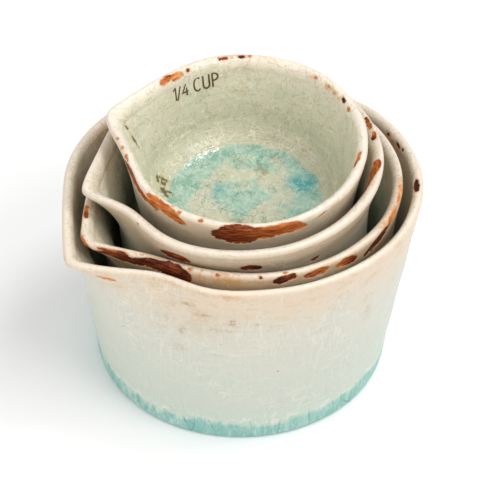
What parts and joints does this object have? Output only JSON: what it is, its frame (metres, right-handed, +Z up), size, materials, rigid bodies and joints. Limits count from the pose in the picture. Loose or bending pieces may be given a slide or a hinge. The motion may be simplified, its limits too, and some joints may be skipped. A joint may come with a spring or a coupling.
{
  "type": "measuring cup set",
  "caption": "Nested glazed stoneware measuring cups with pinched pour spouts and fired-on capacity marks; each lifts out of the next.",
  "frame": {"origin": "centre of the largest cup's foot, on the table; the middle of the set's bounding box is 0.6 mm to the right of it, because the spouts and the leaning rim are not even", "axes": "+Z up, the way the cups lift out; -Y is the front, which the picture looks at; the spouts point left, to -X"},
  "size_m": [0.0958, 0.0883, 0.0753],
  "materials": {
    "one_cup_glaze": "glossy crackled cream glaze pooling aqua at the foot and floor, with bare brown clay at chips",
    "one_cup_mark_colour": "thin dark brown fired-on colour",
    "half_cup_glaze": "glossy crackled cream glaze pooling aqua at the foot and floor, with bare brown clay at chips",
    "half_cup_mark_colour": "thin dark brown fired-on colour",
    "third_cup_glaze": "glossy crackled cream glaze pooling aqua at the foot and floor, with bare brown clay at chips",
    "third_cup_mark_colour": "thin dark brown fired-on colour",
    "quarter_cup_glaze": "glossy crackled cream glaze pooling aqua at the foot and floor, with bare brown clay at chips",
    "quarter_cup_mark_colour": "thin dark brown fired-on colour"
  },
  "bodies": {
    "one_cup": {"one_cup": "one_cup_glaze", "one_cup_mark": "one_cup_mark_colour"},
    "half_cup": {"half_cup": "half_cup_glaze", "half_cup_mark": "half_cup_mark_colour"},
    "third_cup": {"third_cup": "third_cup_glaze", "third_cup_mark": "third_cup_mark_colour"},
    "quarter_cup": {"quarter_cup": "quarter_cup_glaze", "quarter_cup_mark": "quarter_cup_mark_colour"}
  },
  "joints": [
    {"name": "half_cup_lift", "type": "slide", "parent": "one_cup", "child": "half_cup", "axis": [0, 0, 1], "range_m": [0, 0.045]},
    {"name": "third_cup_lift", "type": "slide", "parent": "half_cup", "child": "third_cup", "axis": [0, 0, 1], "range_m": [0, 0.03]},
    {"name": "quarter_cup_lift", "type": "slide", "parent": "third_cup", "child": "quarter_cup", "axis": [0, 0, 1], "range_m": [0, 0.032]}
  ]
}
